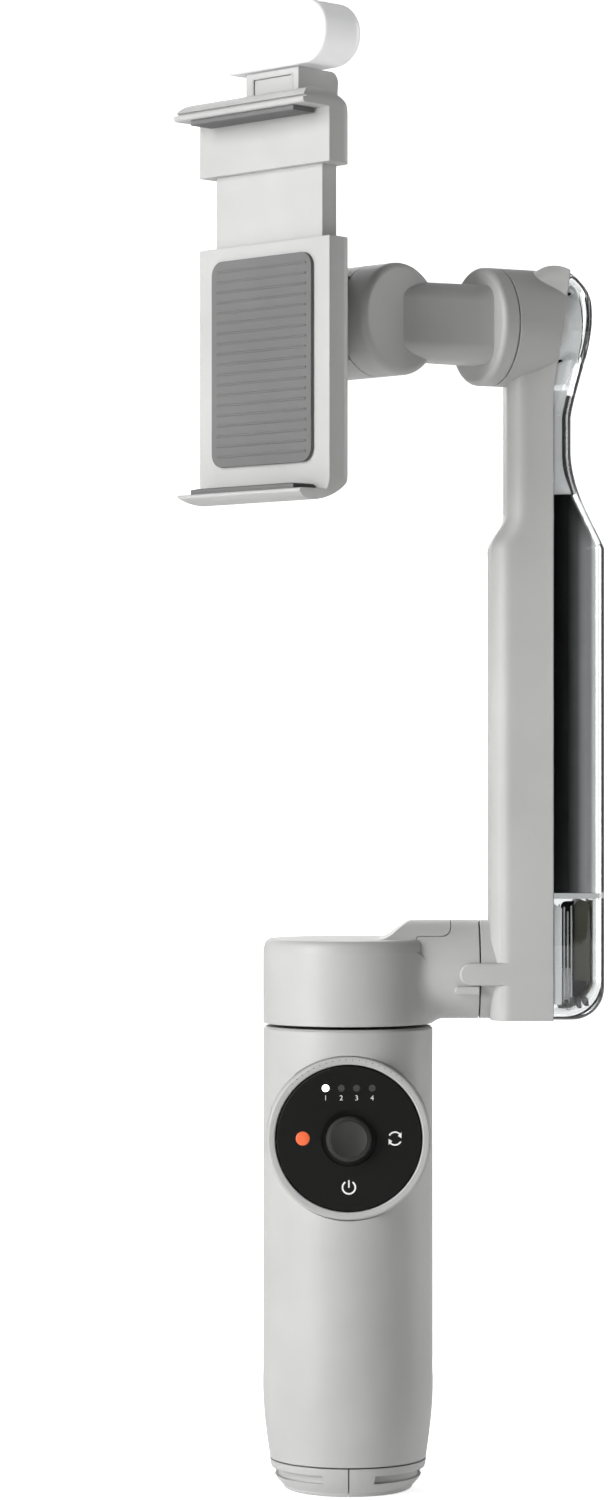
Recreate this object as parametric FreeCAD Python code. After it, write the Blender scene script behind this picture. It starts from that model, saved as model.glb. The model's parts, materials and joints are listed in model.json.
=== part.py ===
"""A three-axis folding phone gimbal: a round handle with a pull-out tripod and a four-stage
pole inside it, a pan drum, a fold-down arm, a roll head, a tilt head and a magnetic phone
clamp with a clip-on lamp. Millimetres, +Z up, origin at the middle of the foot on the floor.
The control panel faces -Y. The pan axis is the Z axis and the fold axis is parallel to X."""

import FreeCAD
import Part
import math
import os

V = FreeCAD.Vector
UP, DOWN = V(0, 0, 1), V(0, 0, -1)
RIGHT, LEFT = V(1, 0, 0), V(-1, 0, 0)
FRONT, BACK = V(0, -1, 0), V(0, 1, 0)
ORIGIN = V(0, 0, 0)

# --- handle -----------------------------------------------------------------------------
HANDLE_R = 18.5  # the grip is 37 mm across
HANDLE_TOP = 101.0
SLEEVE_WALL = 1.8
SEAM_Z = 6.7  # the joint between the feet and the grip
SEAM_GAP = 0.3
TAPER_TOP = 26.0  # below this the grip draws in
SEAM_R = 17.05
FOOT_R = 14.1  # where the feet meet the floor
PANEL_Z = 77.8
DISC_R = 15.6  # black control disc
WHEEL_R_IN, WHEEL_R_OUT = 15.85, 17.6
WHEEL_FRONT_Y = -18.6
FLOOR_Y = -14.2  # floor of the wheel's pocket
ROCK_Y = -14.2  # the disc rocks about this depth
STICK_Y = -13.9  # the joystick tilts about this depth

# --- pole -------------------------------------------------------------------------------
POLE_R = [9.6, 8.4, 7.2, 6.0, 4.8]  # fixed tube, then stages 1 to 4
POLE_WALL = 0.8
RUN = 0.05  # running gap on the radius
POLE_TRAVEL = 54.0
POLE_HEAD_Z = 100.4

# --- pan drum and neck ------------------------------------------------------------------
DRUM_Z0, DRUM_Z1 = 101.7, 120.0
DRUM_WALL = 1.7
LID_R = 16.9
LID_Z = 117.6
NECK_Z = 113.35
NECK_R = 10.75
SEAM_X = 28.4  # the fold seam
TONGUE_Z = 120.8
NECK_BLEND = 4.0  # the drum's side flows into the neck

# --- arm --------------------------------------------------------------------------------
ARM_HALF = 11.8
ARM_Z0 = 102.6
FACE_X = 34.3  # the arm's face on the clamp side
CROWN_X = 30.9  # the raised strip on that face
SPLIT_X = 44.3  # grey shell in front, clear cover behind
BACK_X = 55.6
COVER_WALL = 1.5
LINER_WALL = 1.0
EDGE_R = 4.2  # rounding of the long edges on the clamp side
BACK_R = 5.0  # and on the clear back
HEAD = V(46.0, 0, 253.0)
HEAD_R = 12.8
ROLL = V(-0.8988, -0.4384, 0)  # the roll axis, from the head to the phone

# --- clamp frame: x' along the phone, y' away from its screen, z' up ----------------------
PHONE = V(-21.7, -33.0, 255.5)  # the middle of the phone
CLAMP_TURN = -45.0
JAW_Z = 38.85  # half the height the jaws hold
JAW_HALF = 19.6
CLAMP_BACK = 12.2
CLAMP_R = 3.0  # rounding of the clamp's back corners
TILT = V(0, 29.0, -2.5)
TILT_R = 12.0


def cylinder(r, a, b):
    """A solid cylinder of radius r from point a to point b."""
    return Part.makeCylinder(r, a.distanceToPoint(b), a, b - a)


def tube(r_out, r_in, a, b):
    """A tube from point a to point b."""
    over = (b - a).normalize() * 0.5
    return cylinder(r_out, a, b).cut(cylinder(r_in, a - over, b + over))


def box(x0, x1, y0, y1, z0, z1):
    """A block between two limits on each axis."""
    return Part.makeBox(x1 - x0, y1 - y0, z1 - z0, V(x0, y0, z0))


def path_face(steps, to_point):
    """A face from an outline. A step is ("line", p), ("arc", mid, p) or ("curve", [p, ...])."""
    here = to_point(*steps[0][1])
    start = here
    edges = []
    for step in steps[1:]:
        kind = step[0]
        if kind == "line":
            end = to_point(*step[1])
            edges.append(Part.makeLine(here, end))
        elif kind == "arc":
            end = to_point(*step[2])
            edges.append(Part.Arc(here, to_point(*step[1]), end).toShape())
        else:
            points = [here] + [to_point(*p) for p in step[1]]
            end = points[-1]
            spline = Part.BSplineCurve()
            spline.interpolate(points)
            edges.append(spline.toShape())
        here = end
    if here.distanceToPoint(start) > 1e-6:
        edges.append(Part.makeLine(here, start))
    return Part.Face(Part.Wire(edges))


def in_xz(x, z):
    return V(x, 0, z)


def in_xy(x, y):
    return V(x, y, 0)


def in_yz(y, z):
    return V(0, y, z)


def slab(steps, to_point, low, high, normal):
    """An outline given as path_face steps, extruded along normal between two distances."""
    face = path_face(steps, to_point)
    face.translate(normal * low)
    return face.extrude(normal * (high - low))


def polygon(points):
    """Path steps for a straight-sided outline."""
    return [("start", points[0])] + [("line", p) for p in points[1:]]


def round_rect(x0, x1, y0, y1, r):
    """Path steps for a rectangle with round corners."""
    k = r * (1 - math.sqrt(0.5))
    return [
        ("start", (x0 + r, y0)),
        ("line", (x1 - r, y0)),
        ("arc", (x1 - k, y0 + k), (x1, y0 + r)),
        ("line", (x1, y1 - r)),
        ("arc", (x1 - k, y1 - k), (x1 - r, y1)),
        ("line", (x0 + r, y1)),
        ("arc", (x0 + k, y1 - k), (x0, y1 - r)),
        ("line", (x0, y0 + r)),
        ("arc", (x0 + k, y0 + k), (x0 + r, y0)),
    ]


def spin(steps):
    """A solid of revolution about Z from an outline in x, z."""
    return path_face(steps, in_xz).revolve(ORIGIN, UP, 360)


def rounded(shape, radius, wanted):
    """The shape with a fillet on every edge that wanted(edge) picks."""
    edges = [e for e in shape.Edges if wanted(e)]
    return shape.makeFillet(radius, edges)


def fuse(*shapes):
    """One solid from several that touch."""
    return shapes[0].fuse(list(shapes[1:])).removeSplitter()


def group(*shapes):
    """Several separate solids in one node."""
    return Part.makeCompound(list(shapes))


def to_clamp(shape):
    """Moves a shape from the clamp frame into the part's frame."""
    out = shape.copy()
    out.rotate(ORIGIN, UP, CLAMP_TURN)
    out.translate(PHONE)
    return out


def turned(shape, axis_point, axis, degrees):
    """A copy turned about an axis."""
    out = shape.copy()
    out.rotate(axis_point, axis, degrees)
    return out


def around(make, count, axis_point, axis, start=0.0):
    """A list of count copies of a shape, evenly spaced about an axis."""
    step = 360.0 / count
    return [turned(make, axis_point, axis, start + i * step) for i in range(count)]


# --- motors -----------------------------------------------------------------------------
MOTOR_TEETH = 9
MOTOR_POLES = 12
SHAFT_R = 1.5
BEARING_R = 3.2
POST_R = 4.4


def motor(base, axis, cup_r, length):
    """The pieces of an outrunner motor whose fixed side stands on base and whose cup closes
    at base + axis * length: stator with its windings, cup with shaft and magnets, bearings."""
    core_r = cup_r - 2.6
    core_low, core_high = 2.2, length - 3.4

    def at(d):
        return base + axis * d

    side = UP if abs(axis.z) < 0.5 else BACK
    across = axis.cross(side)
    post = tube(POST_R, BEARING_R, at(0), at(core_high + 0.6))
    yoke = tube(POST_R + 1.2, POST_R, at(core_low), at(core_high))
    tooth = Part.makeBox(core_high - core_low, 1.6, core_r - POST_R - 0.9)
    turn = FreeCAD.Matrix(
        axis.x, across.x, side.x, 0,
        axis.y, across.y, side.y, 0,
        axis.z, across.z, side.z, 0,
        0, 0, 0, 1)
    tooth.translate(V(core_low, -0.8, POST_R + 0.9))
    tooth = tooth.transformGeometry(turn)
    tooth.translate(base)
    teeth = around(tooth, MOTOR_TEETH, base, axis)
    stator = fuse(post, yoke, *teeth)
    coil = Part.makeBox(core_high - core_low + 1.2, 3.0, core_r - POST_R - 2.0)
    coil.translate(V(core_low - 0.6, -1.5, POST_R + 1.5))
    coil = coil.transformGeometry(turn)
    coil.translate(base)
    windings = [c.cut(stator) for c in around(coil, MOTOR_TEETH, base, axis)]
    cup = fuse(
        tube(cup_r, cup_r - 1.0, at(1.4), at(length)),
        tube(cup_r, SHAFT_R, at(length - 1.4), at(length)),
        cylinder(SHAFT_R, at(0.6), at(length)),
    )
    magnet_ring = tube(cup_r - 1.05, cup_r - 2.1, at(core_low), at(core_high))
    wedge_wide = math.radians(360.0 / MOTOR_POLES - 4.0)
    reach = cup_r * 1.2
    wedge = Part.makePolygon([
        base,
        base + (side * math.cos(-wedge_wide / 2) + across * math.sin(-wedge_wide / 2)) * reach,
        base + (side * math.cos(wedge_wide / 2) + across * math.sin(wedge_wide / 2)) * reach,
        base,
    ])
    wedge = Part.Face(wedge).extrude(axis * length)
    magnet = magnet_ring.common(wedge)
    magnets = around(magnet, MOTOR_POLES, base, axis)
    bearings = [
        tube(BEARING_R - 0.01, SHAFT_R + 0.03, at(0.8), at(3.0)),
        tube(BEARING_R - 0.01, SHAFT_R + 0.03, at(core_high - 1.8), at(core_high + 0.4)),
    ]
    return {
        "stator": group(stator, *windings),
        "rotor": group(cup, *magnets),
        "bearings": group(*bearings),
    }


# --- the handle -------------------------------------------------------------------------
LEG_TOP = 56.0
LEG_R_IN, LEG_R_OUT = 12.0, 15.0
LEG_WIDE = 11.0
TRIGGER_Z = 80.0
TRIGGER_PIN = V(0, 13.6, 86.4)
USB_Z = 63.0
PANEL = V(0, 0, PANEL_Z)


def panel_at(y, x=0.0, z=0.0):
    """A point measured from the middle of the control panel."""
    return PANEL + V(x, y, z)


def grip_outline(inset):
    """The grip's outer profile, drawn in by inset."""
    r = HANDLE_R - inset
    low = SEAM_R - inset
    return [
        ("start", (0, SEAM_Z + SEAM_GAP / 2)),
        ("line", (low, SEAM_Z + SEAM_GAP / 2)),
        ("curve", [(low + 0.62, 11.3), (r - 0.24, 16.5), (r, TAPER_TOP)]),
        ("line", (r, HANDLE_TOP - 0.5)),
        ("line", (r - 0.5, HANDLE_TOP)),
        ("line", (0, HANDLE_TOP)),
    ]


def handle_sleeve():
    """The one-piece grip, with the round pocket of the control wheel in front, the slot of
    the trigger behind and the collar that holds the pole."""
    outer = spin(grip_outline(0))
    boss = cylinder(17.75, panel_at(FLOOR_Y - 0.05), panel_at(-4.0))
    inside = spin(grip_outline(SLEEVE_WALL)).common(box(-30, 30, -30, 30, 0, HANDLE_TOP - 3.0))
    floor = cylinder(17.75, panel_at(FLOOR_Y - 6), panel_at(-12.6))
    inside = inside.cut(floor)
    pocket = cylinder(WHEEL_R_OUT + 0.15, panel_at(-25), panel_at(FLOOR_Y))
    well = cylinder(13.4, panel_at(-25), panel_at(-10))
    mouth = cylinder(SEAM_R - SLEEVE_WALL, V(0, 0, 0), V(0, 0, TAPER_TOP))
    collar = cylinder(POLE_R[0] + 0.02, V(0, 0, 50), V(0, 0, HANDLE_TOP + 1))
    shape = outer.fuse(boss).cut(inside).cut(pocket).cut(well).cut(mouth).cut(collar)
    hub = tube(WHEEL_R_IN - RUN, 13.4, panel_at(-15.7), panel_at(-12.8))
    bead = tube(16.1, 15.5, panel_at(-15.4), panel_at(-15.1))
    holes = cylinder(0.55, panel_at(ROCK_Y, x=-14.6), panel_at(ROCK_Y, x=14.6))
    cheeks = box(-7.0, 7.0, 12.4, 17.0, 83.0, 90.0).cut(box(-5.3, 5.3, 0, 30, 80, 93))
    shape = shape.fuse([hub.fuse(bead), cheeks]).cut(holes)
    shape = shape.cut(cylinder(1.02, TRIGGER_PIN + LEFT * 8, TRIGGER_PIN + RIGHT * 8))
    slot = slab(round_rect(-5.2, 5.2, TRIGGER_Z - 11.4, TRIGGER_Z + 9.4, 0.5), in_xz, 14, 30, BACK)
    port = slab(round_rect(-4.7, 4.7, USB_Z - 1.9, USB_Z + 1.9, 1.85), in_xz, 8, 30, BACK)
    return shape.cut(slot.fuse(port)).removeSplitter()


def pole_tubes():
    """The fixed tube and the four moving stages, nested. A bush at the foot of each stage
    runs inside the tube around it, and the collar at the head of that tube stops it."""
    out = {}
    for n in range(5):
        r = POLE_R[n]
        foot = 1.0 if n == 0 else 12.0 + 0.8 * n
        head = POLE_HEAD_Z - 0.1 * n if n < 4 else 103.4
        shape = cylinder(r, V(0, 0, foot), V(0, 0, head))
        if n > 0:
            bush_r = POLE_R[n - 1] - POLE_WALL - RUN
            stop = POLE_HEAD_Z - 0.1 * n - 4.9 - POLE_TRAVEL
            shape = shape.fuse(cylinder(bush_r, V(0, 0, foot), V(0, 0, stop)))
        bore_top = head - 5.0 if n < 4 else head - 4.0
        shape = shape.cut(cylinder(r - POLE_WALL, V(0, 0, foot + 0.7), V(0, 0, bore_top)))
        if n < 4:
            shape = shape.cut(cylinder(POLE_R[n + 1] + RUN, V(0, 0, bore_top - 1), V(0, 0, head + 1)))
        if n == 0:
            shape = shape.cut(cylinder(r - POLE_WALL, V(0, 0, 0), V(0, 0, 5)))
        name = "pole_outer_tube" if n == 0 else "pole_stage_%d" % n
        out[name] = shape.removeSplitter()
    return out


def base_plug():
    """The threaded bush in the middle of the foot, for a quarter-inch tripod screw."""
    body = cylinder(POLE_R[0] - POLE_WALL - 0.01, V(0, 0, 0), V(0, 0, 9.5))
    body = rounded(body, 0.4, lambda e: e.BoundBox.ZMax < 0.1)
    return body.cut(cylinder(2.6, V(0, 0, -1), V(0, 0, 8.0)))


def foot_outline():
    """Outer profile of the ring that the three feet make."""
    top = SEAM_Z - SEAM_GAP / 2
    return [
        ("start", (POLE_R[0] + 0.2, 0)),
        ("line", (FOOT_R - 0.9, 0)),
        ("arc", (FOOT_R - 0.25, 0.25), (FOOT_R + 0.1, 0.9)),
        ("curve", [(15.8, 2.8), (16.7, 4.7), (SEAM_R, top)]),
        ("line", (POLE_R[0] + 0.2, top)),
    ]


def wedge(half_angle, reach, low, high):
    """A wedge-shaped prism on the axis, opening to the front."""
    x = reach * math.sin(math.radians(half_angle))
    y = reach * math.cos(math.radians(half_angle))
    face = path_face(polygon([(0, 0), (-x, -y), (0, -reach * 1.5), (x, -y)]), in_xy)
    face.translate(UP * low)
    return face.extrude(UP * (high - low))


def tripod():
    """Three legs whose feet make the bottom ring, pinned at the top to a sliding hub."""
    out = {}
    ring = spin(foot_outline())
    pin_z = LEG_TOP - 3.0
    hub = tube(15.15, POLE_R[0] + 0.08, V(0, 0, LEG_TOP - 6.5), V(0, 0, LEG_TOP + 1.5))
    pins = []
    for n in range(3):
        mid = 60.0 + 120.0 * n
        foot = ring.common(wedge(59.6, 40, -1, 20))
        notch = tube(25, 15.2, V(0, 0, 3.1), V(0, 0, 4.9)).common(wedge(40, 30, 0, 10))
        foot = foot.cut(notch)
        bar = box(-LEG_WIDE / 2, LEG_WIDE / 2, -20, -LEG_R_IN, 5.0, LEG_TOP - 0.4)
        bar = bar.common(cylinder(LEG_R_OUT, ORIGIN, V(0, 0, 80)))
        bar = bar.cut(box(-1.6, 1.6, -LEG_R_IN - 1.2, -LEG_R_IN + 1, 12.0, LEG_TOP - 12.0))
        leg = foot.fuse(bar)
        leg = leg.cut(cylinder(1.05, V(-10, -13.4, pin_z), V(10, -13.4, pin_z))).removeSplitter()
        pin = cylinder(1.0, V(-7.4, -13.4, pin_z), V(7.4, -13.4, pin_z))
        pin = pin.common(cylinder(15.1, V(0, 0, 0), V(0, 0, 80)))
        space = box(-LEG_WIDE / 2 - 0.15, LEG_WIDE / 2 + 0.15, -20, -LEG_R_IN + 0.15,
                    LEG_TOP - 10, LEG_TOP + 0.2)
        pin_hole = cylinder(1.02, V(-8, -13.4, pin_z), V(8, -13.4, pin_z))
        hub = hub.cut(turned(space.fuse(pin_hole), ORIGIN, UP, mid))
        out["tripod_leg_%d" % (n + 1)] = turned(leg, ORIGIN, UP, mid)
        pins.append(turned(pin, ORIGIN, UP, mid))
    out["tripod_hub"] = hub.removeSplitter()
    out["tripod_pins"] = group(*pins)
    return out


def joystick_cap():
    """Dished thumb cap on its stem, with the two stub pins that carry it."""
    cap = spin([
        ("start", (0, 0)),
        ("line", (4.0, 0)),
        ("arc", (4.75, 0.35), (4.9, 1.0)),
        ("line", (4.55, 1.55)),
        ("line", (3.85, 1.7)),
        ("curve", [(2.2, 1.4), (0, 1.3)]),
    ])
    cap.rotate(ORIGIN, RIGHT, 90)
    cap.translate(panel_at(-19.3))
    stem = cylinder(1.5, panel_at(-19.6), panel_at(-13.3))
    pins = cylinder(0.4, panel_at(STICK_Y, z=-3.2), panel_at(STICK_Y, z=3.2))
    return fuse(cap, stem, pins)


def panel():
    """Control wheel, black disc on its cradle, joystick, lights and the board behind."""
    out = {}
    wheel = tube(WHEEL_R_OUT, WHEEL_R_IN, panel_at(WHEEL_FRONT_Y), panel_at(FLOOR_Y - 0.1))

    def front_edge(e, low, high):
        return e.BoundBox.YMax < WHEEL_FRONT_Y + 0.1 and low < e.BoundBox.ZLength < high

    wheel = rounded(wheel, 0.6, lambda e: front_edge(e, 34, 36))
    wheel = rounded(wheel, 0.3, lambda e: front_edge(e, 31, 32.2))
    out["control_wheel"] = wheel.cut(tube(16.2, 15.0, panel_at(-15.5), panel_at(-15.0)))
    disc = cylinder(DISC_R, panel_at(-18.3), panel_at(-16.5))
    disc = rounded(disc, 0.25, lambda e: e.BoundBox.YMax < -18.2)
    disc = disc.cut(cylinder(3.1, panel_at(-20), panel_at(-15)))
    disc = disc.cut(cylinder(6.0, panel_at(-20), panel_at(-17.7)))
    skirt = tube(13.05, 12.3, panel_at(-16.7), panel_at(-13.7))
    posts = [cylinder(0.8, panel_at(-16.7, x=9.0 * a, z=9.0 * b), panel_at(-12.5, x=9.0 * a, z=9.0 * b))
             for a, b in ((1, 0), (-1, 0), (0, 1), (0, -1))]
    disc = fuse(disc, skirt, *posts)
    slots = box(-14, 14, -15.4, -13.0, PANEL_Z - 1.0, PANEL_Z + 1.0)
    slots = slots.cut(box(-12, 12, -20, 0, PANEL_Z - 5, PANEL_Z + 5))
    holes = cylinder(0.55, panel_at(ROCK_Y, z=-14), panel_at(ROCK_Y, z=14))
    for x in (-5.0, -1.65, 1.65, 5.0):
        disc = disc.cut(cylinder(0.8, panel_at(-19, x=x, z=10.8), panel_at(-16, x=x, z=10.8)))
    out["control_disc"] = disc.cut(slots.fuse(holes)).removeSplitter()
    out["panel_lights"] = group(*[
        cylinder(0.75, panel_at(-18.25, x=x, z=10.8), panel_at(-16.6, x=x, z=10.8))
        for x in (-5.0, -1.65, 1.65, 5.0)])
    cradle = tube(11.9, 10.4, panel_at(-14.9), panel_at(-13.5))
    pivots = []
    for s in (-1, 1):
        pivots.append(cylinder(0.5, panel_at(ROCK_Y, x=s * 11.7), panel_at(ROCK_Y, x=s * 14.4)))
        pivots.append(cylinder(0.5, panel_at(ROCK_Y, z=s * 11.7), panel_at(ROCK_Y, z=s * 12.95)))
    out["rocker_cradle"] = fuse(cradle, *pivots)
    out["joystick_cap"] = joystick_cap()
    ring = tube(3.5, 2.6, panel_at(-14.5), panel_at(-13.3))
    ring = ring.fuse([cylinder(0.4, panel_at(STICK_Y, x=s * 3.3), panel_at(STICK_Y, x=s * 4.7))
                      for s in (-1, 1)])
    out["joystick_ring"] = ring.cut(
        cylinder(0.45, panel_at(STICK_Y, z=-4), panel_at(STICK_Y, z=4))).removeSplitter()
    base = box(-5.0, 5.0, -12.8, -10.95, PANEL_Z - 5.0, PANEL_Z + 5.0)
    posts = [box(s * 4.45 - 0.55, s * 4.45 + 0.55, -14.6, -12.7, PANEL_Z - 1.5, PANEL_Z + 1.5)
             for s in (-1, 1)]
    base = fuse(base, *posts)
    out["joystick_base"] = base.cut(
        cylinder(0.45, panel_at(STICK_Y, x=-6), panel_at(STICK_Y, x=6)))
    board = slab(round_rect(-11.5, 11.5, PANEL_Z - 12.5, PANEL_Z + 12.5, 2.5), in_xz,
                 -10.9, -9.9, BACK)
    out["control_board"] = board
    out["dome_switches"] = group(*[
        cylinder(1.8, panel_at(-12.1, x=9.0 * a, z=9.0 * b), panel_at(-10.92, x=9.0 * a, z=9.0 * b))
        for a, b in ((1, 0), (-1, 0), (0, 1), (0, -1))])
    return out


def trigger():
    """Rear trigger on its pin, and the switch it presses."""
    z_pin = TRIGGER_PIN.z
    lever = slab([
        ("start", (11.6, z_pin + 2.2)),
        ("line", (18.0, z_pin + 2.2)),
        ("curve", [(20.4, z_pin - 2.0), (20.0, z_pin - 7.0), (22.2, TRIGGER_Z - 9.4)]),
        ("line", (20.4, TRIGGER_Z - 10.4)),
        ("line", (17.4, TRIGGER_Z - 9.0)),
        ("line", (16.4, z_pin - 3.6)),
        ("line", (11.6, z_pin - 2.2)),
    ], in_yz, -4.9, 4.9, RIGHT)
    lever = lever.cut(cylinder(1.05, TRIGGER_PIN + LEFT * 8, TRIGGER_PIN + RIGHT * 8))
    pin = cylinder(1.0, TRIGGER_PIN + LEFT * 6.8, TRIGGER_PIN + RIGHT * 6.8)
    switch = fuse(box(-3.0, 3.0, 10.2, 13.2, 70.0, 75.0), cylinder(0.9, V(0, 13, 72.5), V(0, 14.2, 72.5)))
    return {"rear_trigger": lever, "trigger_pin": pin, "trigger_switch": switch}


def batteries():
    """Two curved cells, one each side of the pole."""
    cell = tube(16.3, 10.2, V(0, 0, 61.0), V(0, 0, 96.0)).common(wedge(33, 40, 50, 110))
    return group(turned(cell, ORIGIN, UP, 95), turned(cell, ORIGIN, UP, -95))


def usb_socket():
    """Charging socket behind its opening in the grip."""
    shell = slab(round_rect(-4.5, 4.5, USB_Z - 1.7, USB_Z + 1.7, 1.65), in_xz, 10.4, 17.2, BACK)
    hollow = slab(round_rect(-4.1, 4.1, USB_Z - 1.3, USB_Z + 1.3, 1.25), in_xz, 11.4, 18, BACK)
    tongue = box(-3.2, 3.2, 11.0, 16.4, USB_Z - 0.35, USB_Z + 0.35)
    return shell.cut(hollow).fuse(tongue).removeSplitter()


# --- pan drum and neck ------------------------------------------------------------------
def pan_base():
    """Disc on the head of the pole that closes the underside of the drum."""
    disc = cylinder(16.6, V(0, 0, 101.9), V(0, 0, 103.6))
    boss = cylinder(7.0, V(0, 0, 101.0), V(0, 0, 103.6))
    return fuse(disc, boss).cut(cylinder(POLE_R[4] + 0.01, V(0, 0, 99), V(0, 0, 103.41)))


def neck_point(x, y=0.0, z=0.0):
    return V(x, y, NECK_Z + z)


def rim_curve():
    """The rounded top rim of the drum, going outwards and down."""
    return ("curve", [(HANDLE_R - 0.8, DRUM_Z1 - 0.25), (HANDLE_R - 0.25, DRUM_Z1 - 1.2),
                      (HANDLE_R, DRUM_Z1 - 2.6)])


def lid_zone(grow):
    """The volume that belongs to the lid and its tongue rather than to the drum."""
    disc = cylinder(LID_R + grow, V(0, 0, LID_Z - grow), V(0, 0, 140))
    tongue = slab([
        ("start", (6.0, 130)),
        ("line", (6.0, DRUM_Z1 - grow)),
        ("line", (12.4 + grow, DRUM_Z1 - grow)),
        ("line", (14.0 + grow, TONGUE_Z - grow)),
        ("line", (20.3 + grow, TONGUE_Z - grow)),
        ("arc", (21.7 + grow, 121.4 - grow), (22.3 + grow, 122.8)),
        ("line", (22.3 + grow, 130)),
    ], in_xz, -NECK_R, NECK_R, BACK)
    return disc.fuse(tongue)


def drum_body():
    """Drum and neck in one solid, blended at the sides, with the slope that rises from the
    drum to the neck."""
    tall = cylinder(HANDLE_R, V(0, 0, DRUM_Z0), V(0, 0, DRUM_Z1 + 15))
    neck = cylinder(NECK_R, neck_point(0), neck_point(SEAM_X))
    body = tall.fuse(neck).removeSplitter()
    body = rounded(body, NECK_BLEND, lambda e: e.Length > 30 and 1 < e.BoundBox.XLength < 6)
    over = spin([
        ("start", (0, DRUM_Z1)),
        ("line", (HANDLE_R - 1.25, DRUM_Z1)),
        rim_curve(),
        ("line", (HANDLE_R + 6, DRUM_Z1 - 10)),
        ("line", (HANDLE_R + 6, DRUM_Z1 + 20)),
        ("line", (0, DRUM_Z1 + 20)),
    ])
    above = slab([
        ("start", (-30, DRUM_Z1)),
        ("line", (6.5, DRUM_Z1)),
        ("curve", [(9.5, 121.2), (12.0, 123.2), (15.5, 124.4)]),
        ("line", (15.5, 135)),
        ("line", (-30, 135)),
    ], in_xz, -30, 30, BACK)
    return body.cut(over).fuse(neck.cut(above)).removeSplitter()


def lug(side, z0, z1):
    """Stop on the neck, with a round end: side is -1 in front and 1 behind."""
    mid, r = (z0 + z1) / 2, (z1 - z0) / 2
    shape = slab([
        ("start", (28.3, z0)),
        ("line", (23.0 + r, z0)),
        ("arc", (23.0, mid), (23.0 + r, z1)),
        ("line", (28.3, z1)),
    ], in_xz, *sorted((side * 11.7, side * 8.0)), BACK)
    shape = rounded(shape, 0.4, lambda e: abs(e.CenterOfMass.y) > 11.6 and e.CenterOfMass.x < 28)
    return shape.cut(cylinder(NECK_R - 0.3, neck_point(20), neck_point(30)))


def drum_pieces():
    """Drum shell and its lid."""
    body = drum_body()
    motor_room = cylinder(HANDLE_R - DRUM_WALL, V(0, 0, DRUM_Z0 - 1), V(0, 0, 116.0))
    neck_room = cylinder(NECK_R - 1.7, neck_point(15), neck_point(SEAM_X - 2.4))
    bush = cylinder(4.02, neck_point(20), neck_point(SEAM_X + 1))
    lug_f = lug(-1, 108.2, 110.05)
    lug_b = lug(1, 109.45, 111.3)
    shell = body.fuse([lug_f, lug_b]).cut(lid_zone(0.1))
    shell = shell.cut(motor_room).cut(neck_room).cut(bush)
    lid = body.common(lid_zone(0)).cut(neck_room)
    return {"drum_shell": shell.removeSplitter(), "drum_lid": lid.removeSplitter()}


def fold_shaft():
    """The hollow fold pin, fixed in the neck, with the washer that holds the arm on."""
    pin = cylinder(4.0, neck_point(26.1), neck_point(39.6))
    flange = cylinder(8.6, neck_point(24.6), neck_point(25.9))
    collar = cylinder(4.0, neck_point(25.8), neck_point(26.2))
    washer = cylinder(6.4, neck_point(38.1), neck_point(39.4))
    shape = fuse(pin, flange, collar, washer)
    return shape.cut(cylinder(2.4, neck_point(20), neck_point(40)))


# --- arm --------------------------------------------------------------------------------
def back_line(inset):
    """The outline of the back of the arm from its foot to the top of its head."""
    x = BACK_X - inset
    w = 48.3 - inset
    k = 7.0 * (1 - math.sqrt(0.5))
    return [
        ("line", (x - 7.0, ARM_Z0 + inset)),
        ("arc", (x - k, ARM_Z0 + inset + k), (x, ARM_Z0 + inset + 7.0)),
        ("line", (x, 205.0 + inset * 0.4)),
        ("curve", [(x - 2.2, 209.6 + inset * 0.5), (x - 4.6, 214.6 + inset * 0.5),
                   (w + 0.9, 219.8), (w, 225.5)]),
        ("line", (w, 233.5)),
        ("curve", [(50.2 - inset, 241.5), (52.7 - inset, 254.0), (51.9 - inset, 260.5),
                   (48.0 - inset * 0.5, 265.0 - inset), (42.0, 265.9 - inset)]),
    ]


def split_line():
    """The outline of the joint between the grey shell and the clear cover, going down."""
    return [
        ("line", (49.0, 272.0)),
        ("line", (SPLIT_X, 238.8)),
        ("line", (SPLIT_X, ARM_Z0 - 6)),
    ]


def arm_solid(inset, half, back_r=0):
    """The whole arm as one plate, before it is split, with its long back edges rounded by
    back_r. Its face steps out to a thicker part below a smooth shoulder."""
    face, crown = FACE_X + inset, CROWN_X + inset
    steps = [("start", (crown, ARM_Z0 + inset))] + back_line(inset) + [
        ("curve", [(37.5 + inset * 0.5, 262.5 - inset), (face, 254.0)]),
        ("line", (face, 213.5)),
        ("curve", [(face - 0.6, 210.6), (crown + 0.6, 207.2), (crown, 204.0)]),
        ("line", (crown, ARM_Z0 + inset)),
    ]
    plate = slab(steps, in_xz, -half, half, BACK)
    if back_r == 0:
        return plate
    return rounded(plate, back_r, lambda e: (
        abs(abs(e.BoundBox.YMax) - half) < 0.01 and e.BoundBox.YLength < 0.01
        and e.CenterOfMass.x > 40))


def front_side():
    """Everything on the clamp side of the joint."""
    steps = [("start", (0, ARM_Z0 - 6)), ("line", (0, 290)), ("line", (51.4, 290))]
    steps = steps + split_line()
    return slab(steps, in_xz, -30, 30, BACK)


def head_barrel(r, t0, t1):
    """A cylinder on the roll axis."""
    return cylinder(r, HEAD + ROLL * t0, HEAD + ROLL * t1)


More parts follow.
